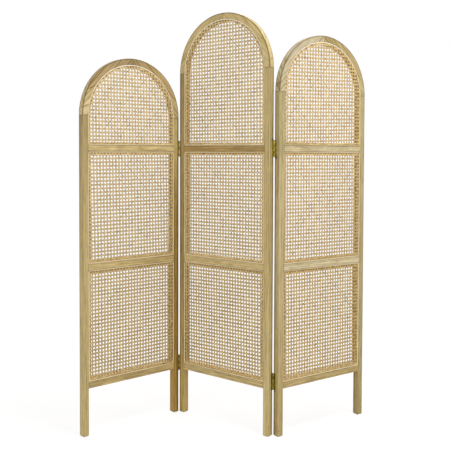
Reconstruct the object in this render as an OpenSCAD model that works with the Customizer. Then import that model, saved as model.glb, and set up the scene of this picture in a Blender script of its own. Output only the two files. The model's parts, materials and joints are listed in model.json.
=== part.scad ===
// Folding room divider of three arched wooden panels with cane webbing.
// Every panel is built flat in its own frame: x runs across it, y from front to back, z up
// from the floor. The panels then turn about the pins of their hinges into a zigzag.

/* [Panels] */
// Width of every panel over its two stiles
panel_w = 500; // [440:5:560]
// Height of the left panel at the crown of its arch
left_panel_h = 1600; // [1540:10:1750]
// Height of the middle panel at the crown of its arch
middle_panel_h = 1800; // [1600:10:2000]
// Height of the right panel at the crown of its arch
right_panel_h = 1700; // [1560:10:1900]

/* [Main frames] */
// Face width of the stiles and arches
member_w = 27; // [25:1:36]
// Thickness of the stiles, arches and rails from front to back
member_t = 30; // [28:1:40]
// Radius of the arrises round the outside of a panel
outer_arris_r = 2; // [1:0.5:5]
// Radius of the arrises beside the webbing fields
inner_arris_r = 1; // [0.5:0.5:3]
// Bevel round the end of every foot
foot_bevel = 4; // [1:0.5:6]

/* [Rails] */
// Height of the three rails
rail_h = 28; // [24:1:38]
// Height of the bottom rail over the floor
leg_h = 202; // [120:1:250]
// Height of the two lower webbing fields
field_h = 470; // [400:5:490]

/* [Insert frames] */
// Face width of the battens that hold the webbing
batten_w = 12; // [10:0.5:18]
// Thickness of the battens from front to back
batten_t = 24; // [16:1:24]
// Depth of the battens' front behind the front of the frame
insert_recess = 2.5; // [2:0.25:3.5]
// Width of the wood left outside the spline groove
groove_lip = 1; // [0.6:0.1:2]
// Depth of the spline groove
groove_d = 6; // [4:0.5:10]
// Gap left all round an insert frame, and for the glue between its battens
insert_fit = 0.1; // [0.05:0.05:0.3]

/* [Webbing] */
// Thickness of the woven cane sheet
webbing_t = 1.4; // [1:0.1:2]
// Width of the spline that wedges the webbing into its groove
spline_w = 4; // [3:0.5:5]
// Height of the spline over the face of the webbing
spline_rise = 0.8; // [0:0.1:1]
// Gap on either side of the spline
spline_fit = 0.1; // [0.05:0.05:0.2]
// Radius of the groove's outer corners
groove_corner_r = 8; // [7:0.5:12]
// Distance between the gaps of the solid sheet, coarser than the real weave
gap_pitch = 27; // [27:1:40]
// Diameter of the gaps of the solid sheet
gap_d = 18; // [8:1:22]

/* [Dowels] */
// Diameter of the dowels in all the joints
dowel_d = 6; // [5:0.5:8]
// Length of the dowels
dowel_l = 28; // [20:2:32]
// Distance between the two dowels of a joint
dowel_pitch = 13; // [10:1:14]
// Gap left for the glue round a dowel
dowel_fit = 0.1; // [0.05:0.05:0.2]
// Depth left free past the end of a dowel
dowel_end_gap = 0.5; // [0.2:0.1:1]

/* [Hinges] */
// Height of the centre of the lower hinges
lower_hinge_z = 230; // [180:1:300]
// Height of the centre of the upper hinges
upper_hinge_z = 1212; // [1100:1:1240]
// Height of a hinge
hinge_h = 70; // [50:1:90]
// Distance from the pin to the far edge of a leaf
leaf_w = 15; // [13:0.5:18]
// Thickness of a leaf, which is sunk flush into its stile
leaf_t = 1.5; // [1.5:0.25:2.5]
// Radius of the hinge barrel
barrel_r = 2.5; // [2.5:0.25:4]
// Radius of the hinge pin
pin_r = 1.2; // [1:0.1:1.6]
// Radial running clearance of the pin
pin_fit = 0.05; // [0.02:0.01:0.08]
// Gap between neighbouring knuckles
knuckle_gap = 0.3; // [0.2:0.05:0.5]
// Radius of the pin's heads
pin_head_r = 2.1; // [1.8:0.1:2.3]
// Thickness of the pin's heads
pin_head_h = 1.2; // [0.8:0.1:2]
// Gap round a leaf in its recess
leaf_fit = 0.1; // [0.05:0.05:0.2]
// Gap between two stiles when their panels stand in line
stile_gap = 2; // [2:0.25:4]

/* [Screws] */
// Distance between the screws of a leaf
screw_pitch = 24; // [16:1:30]
// Sideways stagger of the screws
screw_stagger = 1.2; // [0:0.1:1.5]
// Radius of a countersunk screw head
screw_head_r = 2.3; // [2:0.1:2.3]
// Radius of a screw's shank
screw_shank_r = 1.2; // [1:0.1:1.5]
// Length of a screw
screw_l = 16; // [12:1:18]
// Gap round a screw
screw_fit = 0.05; // [0.02:0.01:0.1]

/* [Standing] */
// Turn of the middle panel away from square to the viewer
middle_yaw = 39; // [0:0.5:60]
// Turn of the left panel from in line with the middle one
left_turn = 79.5; // [0:0.5:180]
// Turn of the right panel from in line with the middle one
right_turn = 74.5; // [0:0.5:180]

/* [Hidden] */
$fn = 64;
wood_colour = [0.74, 0.66, 0.45];
batten_colour = [0.72, 0.60, 0.40];
cane_colour = [0.87, 0.76, 0.58];
spline_colour = [0.93, 0.87, 0.74];
dowel_colour = [0.80, 0.70, 0.52];
brass_colour = [0.60, 0.52, 0.22];
screw_colour = [0.52, 0.45, 0.20];

PANELS = ["left_panel", "middle_panel", "right_panel"];
PANEL_PIECES = [
    "left_stile", "right_stile", "left_arch", "right_arch",
    "bottom_rail", "middle_rail", "upper_rail",
    "lower_insert", "middle_insert", "upper_insert",
    "lower_webbing", "middle_webbing", "upper_webbing",
    "splines", "dowels", "hinge_screws"
];
FOLDS = ["left_fold", "right_fold"];
HINGES = ["lower", "upper"];
HINGE_PIECES = ["fixed_leaf", "swing_leaf", "pin"];

// Heights of the lower edges of the rails, from the bottom one up
rail_zs = [for (i = [0:2]) leg_h + i * (rail_h + field_h)];
// Clear width between the two stiles
field_w = panel_w - 2 * member_w;
// Height of the hinge centres, from the lower one up
hinge_zs = [lower_hinge_z, upper_hinge_z];
// Faces across the thickness of a panel, all as places along y
front_y = -member_t / 2;
land_y = front_y + insert_recess;
batten_back_y = land_y + batten_t;
groove_floor_y = land_y + groove_d;
webbing_y = land_y - webbing_t;
spline_y = webbing_y - spline_rise;
// The groove holds the spline and the webbing's turned-down edge
groove_w = spline_w + webbing_t;
webbing_inset = groove_lip + spline_w;
// Tool sizes that only have to reach past a face
past = 1;
tip_l = 3;
corner_r_least = 0.4;
knuckles = 5;
knuckle_h = hinge_h / knuckles;
cross_w = 0.7;
cross_l = 3;
cross_d = 0.9;
head_rim = 0.3;

function panel_h(panel) =
    panel == "left_panel" ? left_panel_h : panel == "right_panel" ? right_panel_h : middle_panel_h;
// Height at which an arch springs from its stiles
function spring_z(panel) = panel_h(panel) - panel_w / 2;
// Lower and upper edge of a webbing field; the upper one ends at the springing of its arch
function field_zs(panel, i) =
    [rail_zs[i] + rail_h, i < 2 ? rail_zs[i + 1] : spring_z(panel)];

// A point turned about the z axis
function turned(p, a) = [p.x * cos(a) - p.y * sin(a), p.x * sin(a) + p.y * cos(a)];
// Places of the two pins, seen from the panel on either side of each
pin_out_x = (panel_w + stile_gap) / 2;
pin_out_y = member_t / 2 + barrel_r;
left_pin = [-pin_out_x, -pin_out_y];
left_pin_seen_from_left = [pin_out_x, -pin_out_y];
right_pin = [pin_out_x, pin_out_y];
right_pin_seen_from_right = [-pin_out_x, pin_out_y];
// Centres of the rounded corners of a panel in plan
corner_xy = [panel_w / 2 - outer_arris_r, member_t / 2 - outer_arris_r];
corners = [for (sx = [-1, 1]) for (sy = [-1, 1]) [sx * corner_xy.x, sy * corner_xy.y]];
standing_corners = concat(
    [for (c = corners) turned(c, -middle_yaw)],
    [for (c = corners)
        turned(left_pin + turned(c - left_pin_seen_from_left, left_turn), -middle_yaw)],
    [for (c = corners)
        turned(right_pin + turned(c - right_pin_seen_from_right, right_turn), -middle_yaw)]
);
plan_xs = [for (c = standing_corners) c.x];
plan_ys = [for (c = standing_corners) c.y];
plan_centre = [(min(plan_xs) + max(plan_xs)) / 2, (min(plan_ys) + max(plan_ys)) / 2];

// Stands the middle panel so that the whole divider is centred on the origin
module at_middle() {
    translate([-plan_centre.x, -plan_centre.y, 0]) rotate([0, 0, -middle_yaw]) children();
}

// Stands a panel in its place in the zigzag
module at_panel(panel) {
    if (panel == "left_panel") {
        at_middle() translate(left_pin) rotate([0, 0, left_turn])
            translate(-left_pin_seen_from_left) children();
    } else if (panel == "right_panel") {
        at_middle() translate(right_pin) rotate([0, 0, right_turn])
            translate(-right_pin_seen_from_right) children();
    } else {
        at_middle() children();
    }
}

// Puts a hinge's own frame at its pin, with the middle panel on its +x side
module at_pin(fold) {
    at_middle() translate(fold == "left_fold" ? left_pin : right_pin)
        rotate([0, 0, fold == "left_fold" ? 0 : 180]) children();
}

// Raises an outline drawn in x and z into a plate from one y to another
module plate(y_front, y_back) {
    translate([0, y_back, 0]) rotate([90, 0, 0]) linear_extrude(y_back - y_front) children();
}

// A rectangle with round corners, given by its low and high corner
module round_box(low, high, r) {
    translate([low.x + r, low.y]) square([high.x - low.x - 2 * r, high.y - low.y]);
    translate([low.x, low.y + r]) square([high.x - low.x, high.y - low.y - 2 * r]);
    for (x = [low.x + r, high.x - r]) for (y = [low.y + r, high.y - r])
        translate([x, y]) circle(r);
}

// Section of a stile or arch: x from the field's side outwards, y through the thickness
module member_section() {
    translate([0, front_y + inner_arris_r])
        square([member_w - outer_arris_r, member_t - 2 * inner_arris_r]);
    translate([inner_arris_r, front_y])
        square([member_w - inner_arris_r - outer_arris_r, member_t]);
    translate([outer_arris_r, front_y + outer_arris_r])
        square([member_w - outer_arris_r, member_t - 2 * outer_arris_r]);
    for (sy = [-1, 1]) {
        translate([inner_arris_r, sy * (member_t / 2 - inner_arris_r)]) circle(inner_arris_r);
        translate([member_w - outer_arris_r, sy * (member_t / 2 - outer_arris_r)])
            circle(outer_arris_r);
    }
}

// A tool that bevels the foot along one side
module foot_cut(x, y, turn) {
    side = foot_bevel * sqrt(2);
    translate([x, y, 0]) rotate([0, 0, turn]) rotate([0, 45, 0])
        cube([side, 3 * member_t, side], center = true);
}

// Holes for the dowels of the rails' ends, seen from the stile's inner face at x = 0
module rail_dowel_holes() {
    for (z = rail_zs) for (s = [-1, 1])
        translate([-past, 0, z + rail_h / 2 + s * dowel_pitch / 2]) rotate([0, 90, 0])
            cylinder(h = past + dowel_l / 2 + dowel_end_gap, d = dowel_d + 2 * dowel_fit);
}

// Holes for the dowels of a butt joint whose face is at z = 0 and whose wood lies above it
module end_dowel_holes() {
    for (s = [-1, 1]) translate([0, s * dowel_pitch / 2, -past])
        cylinder(h = past + dowel_l / 2 + dowel_end_gap, d = dowel_d + 2 * dowel_fit);
}

// Turns a child drawn for the right-hand side of a panel onto the side asked for
module on_side(side) {
    mirror([side == "left" ? 1 : 0, 0, 0]) children();
}

// Says which hinge, if any, is let into the stile on one side of a panel
function fold_of(panel, side) =
    panel == "left_panel" && side == "right" ? "left_fold"
    : panel == "middle_panel" && side == "left" ? "left_fold"
    : panel == "middle_panel" && side == "right" ? "right_fold"
    : panel == "right_panel" && side == "left" ? "right_fold"
    : "none";

// Places a hinge half's frame on the right-hand side of a panel: x from the edge face inwards,
// y from the pin away from it through the thickness
module at_edge(fold, z) {
    back = fold == "right_fold";
    translate([panel_w / 2, back ? pin_out_y : -pin_out_y, z])
        mirror([1, 0, 0]) mirror([0, back ? 1 : 0, 0]) children();
}

// Places the three screws of a leaf; their axes point into the wood along +x
module at_screws() {
    plate_mid = (leaf_w + barrel_r) / 2;
    for (i = [-1:1])
        translate([0, plate_mid + (i == 0 ? screw_stagger : -screw_stagger), i * screw_pitch])
            rotate([0, 90, 0]) children();
}

// The recess and screw holes that a hinge leaf needs in a stile's edge
module hinge_recess() {
    translate([-past, -leaf_fit, -hinge_h / 2 - leaf_fit])
        cube([leaf_t + past, leaf_w + 2 * leaf_fit, hinge_h + 2 * leaf_fit]);
    at_screws() cylinder(h = screw_l + dowel_end_gap, r = screw_shank_r + screw_fit);
}

module stile(panel, side) {
    color(wood_colour) on_side(side) difference() {
        translate([field_w / 2, 0, 0]) linear_extrude(spring_z(panel)) member_section();
        foot_cut(panel_w / 2, 0, 0);
        foot_cut(field_w / 2, 0, 0);
        foot_cut(panel_w / 2 - member_w / 2, front_y, 90);
        foot_cut(panel_w / 2 - member_w / 2, -front_y, 90);
        translate([field_w / 2, 0, 0]) rail_dowel_holes();
        translate([panel_w / 2 - member_w / 2, 0, spring_z(panel)]) mirror([0, 0, 1])
            end_dowel_holes();
        if (fold_of(panel, side) != "none")
            for (z = hinge_zs) at_edge(fold_of(panel, side), z) hinge_recess();
    }
}

// One half of an arch, from its springing to the crown
module arch_half(panel, side) {
    mid_r = panel_w / 2 - member_w / 2;
    color(wood_colour) translate([0, 0, spring_z(panel)]) on_side(side) difference() {
        rotate([90, 0, 0]) rotate_extrude(angle = 90, $fn = 128)
            translate([field_w / 2, 0]) member_section();
        translate([mid_r, 0, 0]) end_dowel_holes();
        translate([0, 0, mid_r]) rotate([0, 90, 0]) end_dowel_holes();
    }
}

module rail(i) {
    half_w = field_w / 2;
    color(wood_colour) translate([0, 0, rail_zs[i]]) difference() {
        translate([-half_w, 0, 0]) rotate([90, 0, 90]) linear_extrude(field_w)
            round_box([front_y, 0], [-front_y, rail_h], inner_arris_r);
        for (side = ["left", "right"]) on_side(side)
            for (s = [-1, 1])
                translate([half_w + past, 0, rail_h / 2 + s * dowel_pitch / 2])
                    rotate([0, -90, 0])
                    cylinder(h = past + dowel_l / 2 + dowel_end_gap, d = dowel_d + 2 * dowel_fit);
    }
}

// Outline of a webbing field drawn in from the frame round it
module field_outline(panel, i, inset, r) {
    zs = field_zs(panel, i);
    half_w = field_w / 2 - inset;
    if (i < 2) {
        round_box([-half_w, zs[0] + inset], [half_w, zs[1] - inset], r);
    } else {
        round_box([-half_w, zs[0] + inset], [half_w, zs[1]], r);
        translate([-half_w, zs[1] - 2 * r]) square([2 * half_w, 2 * r]);
        translate([0, zs[1]]) intersection() {
            circle(half_w, $fn = 128);
            translate([-half_w - past, 0]) square([2 * (half_w + past), half_w + past]);
        }
    }
}

// The battens of an insert frame as outlines, without their grooves
module batten_outline(panel, i, k) {
    zs = field_zs(panel, i);
    half_w = field_w / 2 - insert_fit;
    low = zs[0] + insert_fit;
    high = i < 2 ? zs[1] - insert_fit : zs[1];
    inner = half_w - batten_w;
    if (k == 0 || k == 1) mirror([k, 0]) translate([inner, low]) square([batten_w, high - low]);
    if (k == 2) translate([-inner + insert_fit, low])
        square([2 * (inner - insert_fit), batten_w]);
    if (k == 3 && i < 2) translate([-inner + insert_fit, high - batten_w])
        square([2 * (inner - insert_fit), batten_w]);
    if (k > 2 && i == 2) translate([0, high]) mirror([k - 3, 0]) intersection() {
        difference() {
            circle(half_w, $fn = 128);
            circle(inner, $fn = 128);
        }
        translate([insert_fit / 2, insert_fit]) square(half_w);
    }
}

// An insert frame: battens with a groove round their front
module insert(panel, i) {
    color(batten_colour) for (k = [0:(i < 2 ? 3 : 4)]) difference() {
        plate(land_y, batten_back_y) batten_outline(panel, i, k);
        plate(land_y - past, groove_floor_y) difference() {
            field_outline(panel, i, groove_lip, groove_corner_r);
            field_outline(panel, i, groove_lip + groove_w,
                max(groove_corner_r - groove_w, corner_r_least));
        }
    }
}

// Places of the gaps of a sheet
function gap_places(panel, i) =
    let (zs = field_zs(panel, i),
        reach = field_w / 2 - batten_w - gap_d / 2 - past,
        low = zs[0] + batten_w + gap_d / 2 + past,
        high = i < 2 ? zs[1] - batten_w - gap_d / 2 - past : zs[1] + reach,
        columns = floor(2 * reach / gap_pitch),
        rows = floor((high - low) / gap_pitch),
        start = i < 2 ? (low + high - rows * gap_pitch) / 2 : low)
    [for (row = [0:rows]) for (column = [0:columns])
        let (p = [(column - columns / 2) * gap_pitch, start + row * gap_pitch])
        if (i < 2 || p.y < zs[1] || norm([p.x, p.y - zs[1]]) < reach) p];

// A sheet of webbing: it lies on the battens and turns down into the groove round them
module webbing(panel, i) {
    outer_r = max(groove_corner_r - spline_w, 2 * corner_r_least);
    inner_r = max(groove_corner_r - groove_w, corner_r_least);
    color(cane_colour) {
        plate(webbing_y, land_y) difference() {
            field_outline(panel, i, webbing_inset, outer_r);
            for (p = gap_places(panel, i)) translate(p) circle(d = gap_d, $fn = 24);
        }
        plate(land_y, groove_floor_y - spline_fit) difference() {
            field_outline(panel, i, webbing_inset, outer_r);
            field_outline(panel, i, webbing_inset + webbing_t, inner_r);
        }
    }
}

// The three splines of a panel
module splines(panel) {
    color(spline_colour) for (i = [0:2]) plate(spline_y, groove_floor_y - spline_fit)
        difference() {
            field_outline(panel, i, groove_lip + spline_fit, groove_corner_r - spline_fit);
            field_outline(panel, i, webbing_inset - spline_fit,
                max(groove_corner_r - spline_w + spline_fit, corner_r_least));
        }
}

module dowel() {
    cylinder(h = dowel_l, d = dowel_d, center = true);
}

// All the dowels of a panel
module dowels(panel) {
    mid_r = panel_w / 2 - member_w / 2;
    color(dowel_colour) {
        for (z = rail_zs) for (s = [-1, 1]) for (x = [-field_w / 2, field_w / 2])
            translate([x, 0, z + rail_h / 2 + s * dowel_pitch / 2]) rotate([0, 90, 0]) dowel();
        for (s = [-1, 1]) {
            for (x = [-mid_r, mid_r])
                translate([x, s * dowel_pitch / 2, spring_z(panel)]) dowel();
            translate([0, s * dowel_pitch / 2, spring_z(panel) + mid_r]) rotate([0, 90, 0]) dowel();
        }
    }
}

// A leaf in the hinge's own frame, with the pin on the z axis and its plate on the +x side
module leaf(first_knuckle) {
    difference() {
        union() {
            translate([stile_gap / 2, barrel_r + knuckle_gap, -hinge_h / 2])
                cube([leaf_t, leaf_w - barrel_r - knuckle_gap, hinge_h]);
            for (i = [first_knuckle:2:knuckles - 1])
                translate([0, 0, -hinge_h / 2 + i * knuckle_h + knuckle_gap / 2]) {
                    cylinder(h = knuckle_h - knuckle_gap, r = barrel_r);
                    translate([stile_gap / 2, 0, 0])
                        cube([leaf_t, barrel_r + 2 * knuckle_gap, knuckle_h - knuckle_gap]);
                }
        }
        cylinder(h = hinge_h + 2 * past, r = pin_r + pin_fit, center = true);
        translate([stile_gap / 2, 0, 0]) at_screws() {
            cylinder(h = 3 * leaf_t, r = screw_shank_r + screw_fit, center = true);
            translate([0, 0, -past]) cylinder(h = past + head_rim, r = screw_head_r + screw_fit);
            translate([0, 0, head_rim]) cylinder(h = screw_head_r - screw_shank_r,
                r1 = screw_head_r + screw_fit, r2 = screw_shank_r + screw_fit);
        }
    }
}

// The leaf on the middle panel, with knuckles one, three and five
module fixed_leaf() {
    color(brass_colour) leaf(0);
}

// The leaf on the side panel, with knuckles two and four
module swing_leaf() {
    color(brass_colour) mirror([1, 0, 0]) leaf(1);
}

// The pin with its two flat heads
module hinge_pin() {
    color(brass_colour) {
        cylinder(h = hinge_h, r = pin_r, center = true);
        for (s = [-1, 1]) translate([0, 0, s * (hinge_h + pin_head_h) / 2])
            cylinder(h = pin_head_h, r = pin_head_r, center = true);
    }
}

// A countersunk screw with a cross recess, its head at z = 0 and its tip up
module screw() {
    difference() {
        rotate_extrude() polygon([
            [0, 0], [screw_head_r, 0], [screw_head_r, head_rim],
            [screw_shank_r, head_rim + screw_head_r - screw_shank_r],
            [screw_shank_r, screw_l - tip_l], [0, screw_l]
        ]);
        for (turn = [0, 90]) rotate([0, 0, turn])
            cube([cross_l, cross_w, 2 * cross_d], center = true);
    }
}

// The screws of all the leaves on one panel
module hinge_screws(panel) {
    color(screw_colour) for (side = ["left", "right"]) on_side(side)
        if (fold_of(panel, side) != "none")
            for (z = hinge_zs) at_edge(fold_of(panel, side), z) at_screws() screw();
}

for (panel = PANELS) at_panel(panel) {
    for (side = ["left", "right"]) {
        stile(panel, side);
        arch_half(panel, side);
    }
    for (i = [0:2]) {
        rail_name = ["bottom", "middle", "upper"][i];
        field_name = ["lower", "middle", "upper"][i];
        rail(i);
        insert(panel, i);
        webbing(panel, i);
    }
    splines(panel);
    dowels(panel);
    hinge_screws(panel);
}
for (fold = FOLDS) for (k = [0:1]) at_pin(fold) translate([0, 0, hinge_zs[k]]) {
    hinge = str(fold, "_", HINGES[k]);
    turn = fold == "left_fold" ? left_turn : right_turn;
    fixed_leaf();
    rotate([0, 0, turn]) swing_leaf();
    hinge_pin();
}
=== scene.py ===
"""The looks of a folding room divider: three arched wooden panels with woven cane fields.

Every panel is described flat in its own frame, x across it, y from front to back and z up from
the floor, and is then stood in its place in the zigzag. All lengths are in metres.
"""

import json
import math
import random

import bmesh
import bpy
from mathutils import Matrix, Vector, noise


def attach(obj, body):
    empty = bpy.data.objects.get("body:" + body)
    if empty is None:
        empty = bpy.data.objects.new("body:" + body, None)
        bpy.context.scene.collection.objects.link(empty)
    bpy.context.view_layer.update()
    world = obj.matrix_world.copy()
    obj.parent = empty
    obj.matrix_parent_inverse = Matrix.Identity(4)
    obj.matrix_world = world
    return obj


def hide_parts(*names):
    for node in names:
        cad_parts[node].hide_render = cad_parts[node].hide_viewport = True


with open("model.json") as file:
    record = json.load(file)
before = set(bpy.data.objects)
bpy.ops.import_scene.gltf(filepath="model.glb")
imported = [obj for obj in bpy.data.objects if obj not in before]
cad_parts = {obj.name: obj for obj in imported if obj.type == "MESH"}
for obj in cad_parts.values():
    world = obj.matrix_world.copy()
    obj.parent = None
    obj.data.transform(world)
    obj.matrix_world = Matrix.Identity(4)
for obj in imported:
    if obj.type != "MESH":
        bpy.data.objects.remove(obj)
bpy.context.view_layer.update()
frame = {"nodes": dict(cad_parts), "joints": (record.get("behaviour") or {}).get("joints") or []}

PANELS = ("left_panel", "middle_panel", "right_panel")
FIELDS = ("lower", "middle", "upper")
RAILS = ("bottom", "middle", "upper")
MM = 0.001

# Sizes of the wooden frames
PANEL_W, MEMBER_W, MEMBER_T = 500 * MM, 27 * MM, 30 * MM
PANEL_H = {"left_panel": 1600 * MM, "middle_panel": 1800 * MM, "right_panel": 1700 * MM}
LEG_H, RAIL_H, FIELD_H = 202 * MM, 28 * MM, 470 * MM
FIELD_W = PANEL_W - 2 * MEMBER_W
BATTEN_W = 12 * MM
LAND_Y = -MEMBER_T / 2 + 2.5 * MM
BARREL_R, STILE_GAP = 2.5 * MM, 2 * MM

# How each sheet of cane was laid in its field: in mm the distance of its cells across and up and
# the shift of its first cell from the field's middle, then how much it leans each way
WEAVE_LAY = {
    "left_panel": ((15.17, 15.39, -7.1, 4.9, 0.0, 0.004),
                   (15.68, 15.75, -5.5, 2.2, -0.016, 0.007),
                   (15.23, 15.51, -2.5, 3.5, -0.013, 0.001)),
    "middle_panel": ((14.87, 15.25, -0.6, 5.9, -0.011, 0.007),
                     (15.46, 14.98, 2.7, -2.0, -0.002, 0.006),
                     (15.87, 15.48, -7.9, -5.7, -0.010, 0.013)),
    "right_panel": ((15.13, 15.34, 3.4, 5.9, -0.008, -0.002),
                    (15.16, 15.27, -5.8, -6.0, -0.005, -0.005),
                    (15.66, 15.42, -1.3, -1.9, 0.0, 0.030)),
}
# From middle to middle of the two strands of a pair, and a strand's width in each field
PAIR_GAP = 3.2 * MM
STRAND_W = (2.64 * MM, 2.5 * MM, 2.5 * MM)
STRAND_T = 0.7 * MM
# Heights over the sheet: a diagonal where it passes below, the pairs, and a diagonal where it
# passes above; then how far the strands of the pairs rise and dip where they cross each other
LOW, MIDDLE, HIGH, CROSS = 0.34 * MM, 0.98 * MM, 1.62 * MM, 0.33 * MM
# The share of a cell on each side of a crossing over which a diagonal stays level
PLATEAU = 0.15
# How far the pull moves a strand, over which length, and the step in its noise between fields
WANDER, WANDER_LENGTH, WANDER_STEP = 0.45 * MM, 90 * MM, 3.7
# The bent ends of the strands, and how high they start to bend
TUCK_INSET, TUCK_RUN, TUCK_DEPTH = 4.9 * MM, 1.5 * MM, 2.0 * MM
TUCK_START = 0.6 * MIDDLE

# The reed that locks the cane in its groove
REED_INSET, REED_W, REED_T, REED_CROWN = 2.3 * MM, 4.0 * MM, 2.6 * MM, 2.45 * MM
REED_CORNER = 6 * MM
# The angles, in degrees, at which a reed's route has its points round a corner and an arch
CORNER_TURN, ARCH_TURN = range(0, 91, 15), range(0, 181, 3)
# Sides of the section of a strand and of a reed
STRAND_SIDES, REED_SIDES = 4, 10
# Halvings that bring a strand's end to its field's outline, and the fewest points of a strand
HALVINGS, FEWEST_POINTS = 18, 3

# Where the random draws of each kind of piece start
SEEDS = {"stile": 0, "arch": 40, "rail": 80, "insert": 120, "dowels": 160, "weave": 200}


# Places

def on_floor(place):
    return Vector((place[0], place[1], 0))


def stand_panels():
    """The matrix that stands each panel, from the pins and the rest angles in the record."""
    joints = {joint["name"]: joint for joint in frame["joints"]}
    left, right = (on_floor(joints[name]["pos_m"]) for name in ("left_fold", "right_fold"))
    out = Vector(((PANEL_W + STILE_GAP) / 2, MEMBER_T / 2 + BARREL_R, 0))
    yaw = math.atan2(*(right - left).yx) - math.atan2(*out.yx)
    turned = Matrix.Rotation(yaw, 4, "Z")
    stood = {"middle_panel": Matrix.Translation((left + right) / 2) @ turned}
    for panel, joint, pin, seen in (
        ("left_panel", "left_fold", left, Vector((out.x, -out.y, 0))),
        ("right_panel", "right_fold", right, Vector((-out.x, out.y, 0))),
    ):
        fold = Matrix.Rotation(yaw - math.radians(joints[joint]["range_deg"][0]), 4, "Z")
        stood[panel] = Matrix.Translation(pin) @ fold @ Matrix.Translation(-seen)
    return stood


STAND = stand_panels()
# Turns a sheet's own frame, x across, y up and z out of its front, into its panel's frame
SHEET_UP = Matrix(((1, 0, 0, 0), (0, 0, -1, LAND_Y), (0, 1, 0, 0), (0, 0, 0, 1)))


def spring_z(panel):
    return PANEL_H[panel] - PANEL_W / 2


def rail_z(i):
    return LEG_H + i * (RAIL_H + FIELD_H)


def field_zs(panel, i):
    return rail_z(i) + RAIL_H, rail_z(i + 1) if i < 2 else spring_z(panel)


# Node helpers

def srgb(*rgb):
    """A colour as it is seen, 0 to 255, in the linear values that nodes take."""
    return [((c / 255 + 0.055) / 1.055) ** 2.4 for c in rgb] + [1.0]


def fill(tree, inputs, feeds):
    """Gives each input a socket to join or a value to hold."""
    for key, value in feeds.items():
        if isinstance(value, bpy.types.NodeSocket):
            tree.links.new(value, inputs[key])
        else:
            inputs[key].default_value = value


def spaced(feeds):
    """The same feeds, with the spaces of the inputs' names for the underscores."""
    return {key.replace("_", " "): value for key, value in feeds.items()}


def put(tree, kind, feeds=None, **settings):
    """Adds a node with its settings and feeds."""
    node = tree.nodes.new(kind)
    for name, value in settings.items():
        setattr(node, name, value)
    fill(tree, node.inputs, feeds or {})
    return node


def calc(tree, operation, *values):
    return put(tree, "ShaderNodeMath", dict(enumerate(values)), operation=operation).outputs[0]


def vector_calc(tree, operation, *values):
    node = put(tree, "ShaderNodeVectorMath", dict(enumerate(values)), operation=operation)
    return node.outputs["Vector"]


def length_of(tree, vector):
    return put(tree, "ShaderNodeVectorMath", {0: vector}, operation="LENGTH").outputs["Value"]


def hypotenuse(tree, a, b):
    squares = (calc(tree, "MULTIPLY", value, value) for value in (a, b))
    return calc(tree, "SQRT", calc(tree, "ADD", *squares))


def join(tree, x, y, z=0.0):
    return put(tree, "ShaderNodeCombineXYZ", {0: x, 1: y, 2: z}).outputs[0]


def split(tree, vector):
    return put(tree, "ShaderNodeSeparateXYZ", {0: vector}).outputs


def ramp(tree, value, low, high, start=0.0, end=1.0):
    """Rises smoothly from start to end as the value goes from low to high."""
    feeds = {"Value": value, "From Min": low, "From Max": high, "To Min": start, "To Max": end}
    node = put(tree, "ShaderNodeMapRange", feeds, interpolation_type="SMOOTHSTEP")
    return node.outputs["Result"]


def mix_colour(tree, factor, a, b):
    return put(tree, "ShaderNodeMix", {0: factor, 6: a, 7: b}, data_type="RGBA").outputs[2]


def mix_place(tree, factor, a, b):
    return put(tree, "ShaderNodeMix", {0: factor, 4: a, 5: b}, data_type="VECTOR").outputs[1]


def cloud(tree, vector, scale, detail=2.0, roughness=0.5):
    """A noise value between 0 and 1."""
    feeds = {"Vector": vector, "Scale": scale, "Detail": detail, "Roughness": roughness}
    return put(tree, "ShaderNodeTexNoise", feeds).outputs["Fac"]


def object_place(tree):
    return put(tree, "ShaderNodeTexCoord").outputs["Object"]


def attribute(tree, name):
    return put(tree, "ShaderNodeAttribute", attribute_name=name).outputs["Fac"]


def bumped(tree, height, strength, depth):
    """The normal of a surface that rises and falls with a height."""
    feeds = {"Strength": strength, "Distance": depth, "Height": height}
    return put(tree, "ShaderNodeBump", feeds).outputs["Normal"]


def seen_rays(tree):
    """Marks the rays that see the white room, and leaves out those that only light things."""
    path = put(tree, "ShaderNodeLightPath").outputs
    return calc(tree, "MAXIMUM", path["Is Camera Ray"],
                calc(tree, "MAXIMUM", path["Is Glossy Ray"], path["Is Transmission Ray"]))


def shader_group(name, inputs, outputs):
    """A shader node group, and its input and output nodes."""
    tree = bpy.data.node_groups.new(name, "ShaderNodeTree")
    for label, kind, value in inputs:
        socket = tree.interface.new_socket(label, in_out="INPUT", socket_type=kind)
        socket.default_value = value
    for label in outputs:
        tree.interface.new_socket(label, in_out="OUTPUT", socket_type="NodeSocketFloat")
    return tree, put(tree, "NodeGroupInput").outputs, put(tree, "NodeGroupOutput")


def finish_group(tree, ends, **values):
    fill(tree, ends.inputs, values)
    return tree


def use_group(tree, group, **feeds):
    node = put(tree, "ShaderNodeGroup", node_tree=group)
    fill(tree, node.inputs, spaced(feeds))
    return node.outputs


def new_material(name):
    material = bpy.data.materials.new(name)
    material.use_nodes = True
    tree = material.node_tree
    return material, tree, tree.nodes["Principled BSDF"]


def feed(tree, shader, **feeds):
    fill(tree, shader.inputs, spaced(feeds))


def add_object(name, data):
    thing = bpy.data.objects.new(name, data)
    bpy.context.scene.collection.objects.link(thing)
    return thing


# Shared effects

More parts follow.
